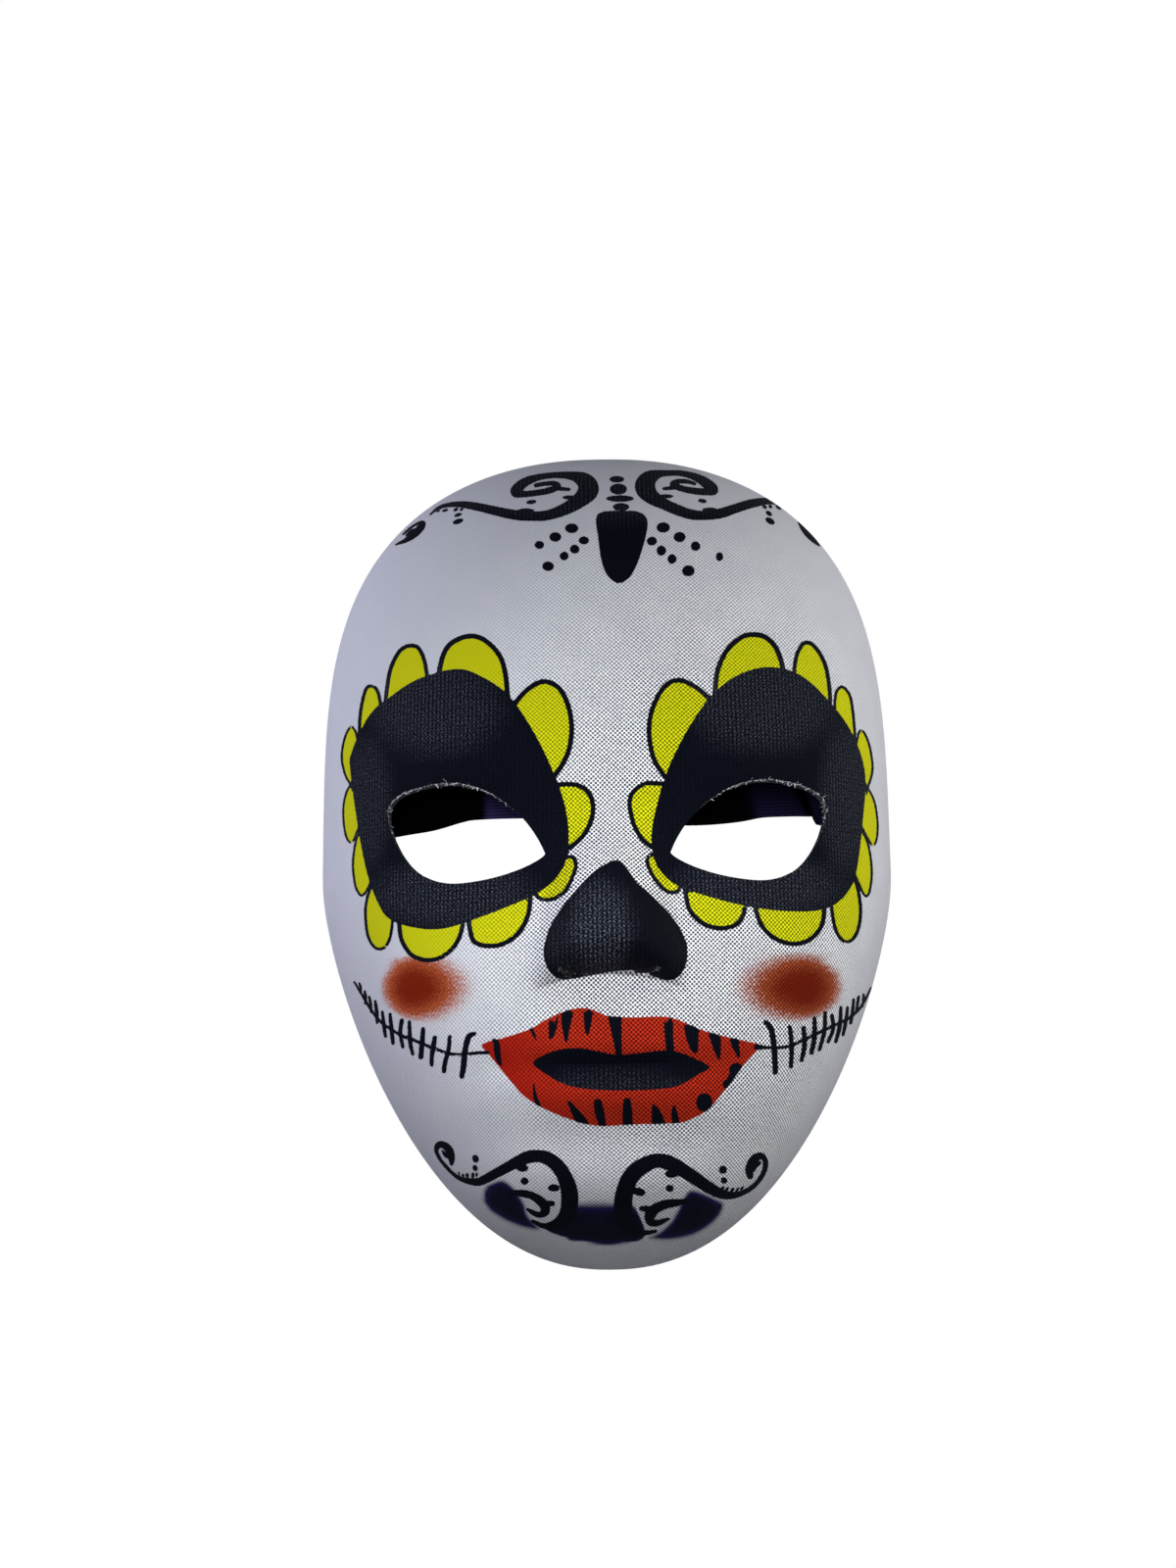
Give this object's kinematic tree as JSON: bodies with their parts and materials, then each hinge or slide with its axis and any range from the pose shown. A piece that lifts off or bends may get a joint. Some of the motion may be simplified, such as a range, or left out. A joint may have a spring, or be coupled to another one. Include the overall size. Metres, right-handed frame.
{
  "type": "day of the dead mask",
  "caption": "Full-face costume mask: a moulded shell under a printed sugar-skull knit cover, with eye openings, nostrils and an elastic head strap.",
  "frame": {"origin": "middle of the rim's box, on the surface that the mask lies on", "axes": "+Z out of the face, +Y towards the forehead, +X to the viewer's right"},
  "size_m": [0.1578, 0.2263, 0.0853],
  "materials": {
    "shell": "black moulded plastic, matt inside",
    "cover": "printed polyester knit, matt",
    "strap": "woven black elastic"
  },
  "bodies": {
    "root": {"moulded_shell": "shell", "printed_fabric_cover": "cover", "elastic_strap": "strap"}
  },
  "joints": []
}
